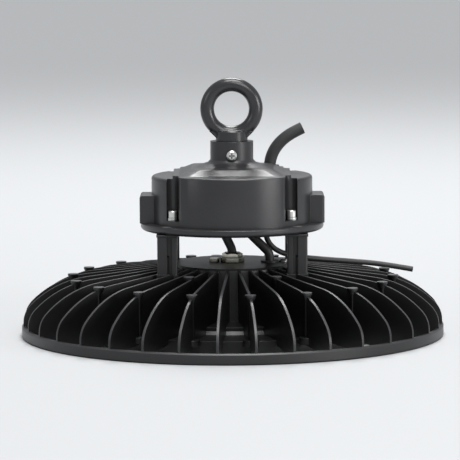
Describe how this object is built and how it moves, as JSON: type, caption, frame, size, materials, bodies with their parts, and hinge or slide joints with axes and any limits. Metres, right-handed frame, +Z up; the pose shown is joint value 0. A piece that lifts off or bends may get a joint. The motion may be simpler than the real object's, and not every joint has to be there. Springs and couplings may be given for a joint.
{
  "type": "high bay light",
  "caption": "Round LED high bay light: finned cast heat sink, driver housing raised on four posts, lifting eye on top, short mains and dimming cables.",
  "frame": {"origin": "centre of the rim's lower edge, which is the centre of the bounding box's bottom", "axes": "+Z up through the lifting eye, -Y towards the front with the neck locking screw, +X to the right"},
  "size_m": [0.305, 0.305, 0.1855],
  "materials": {
    "black_casting": "fine satin powder coat",
    "zinc_steel": "bright zinc plate",
    "nickel": "satin nickel plate",
    "silicone": "matt grey silicone",
    "black_rubber": "matt black rubber",
    "board_white": "white solder mask",
    "led_phosphor": "yellow phosphor",
    "clear_cover": "clear polycarbonate",
    "circuit_board": "green solder mask",
    "potting": "black potting resin"
  },
  "bodies": {
    "root": {"heat_sink": "black_casting", "housing_plate": "black_casting", "driver_housing": "black_casting", "post_front_left": "black_casting", "post_front_right": "black_casting", "post_rear_left": "black_casting", "post_rear_right": "black_casting", "eye_bolt": "black_casting", "cover_ring": "black_casting", "housing_screws": "zinc_steel", "housing_screw_washers": "zinc_steel", "neck_locking_screw": "zinc_steel", "post_foot_screws": "zinc_steel", "post_head_screws": "zinc_steel", "led_board_screws": "zinc_steel", "cover_ring_screws": "zinc_steel", "earth_screw": "zinc_steel", "hub_gland_body": "nickel", "hub_gland_nut": "nickel", "breather_plug": "nickel", "housing_seal": "silicone", "cover_seal": "silicone", "plate_grommets": "black_rubber", "hub_lead_grommet": "black_rubber", "mains_cable_grommet": "black_rubber", "dimming_cable_grommet": "black_rubber", "mains_cable": "black_rubber", "dimming_cable": "black_rubber", "led_lead_main": "black_rubber", "led_lead_return": "black_rubber", "led_board": "board_white", "led_chips": "led_phosphor", "cover_plate": "clear_cover", "driver_board": "circuit_board", "driver_module": "potting"}
  },
  "joints": []
}
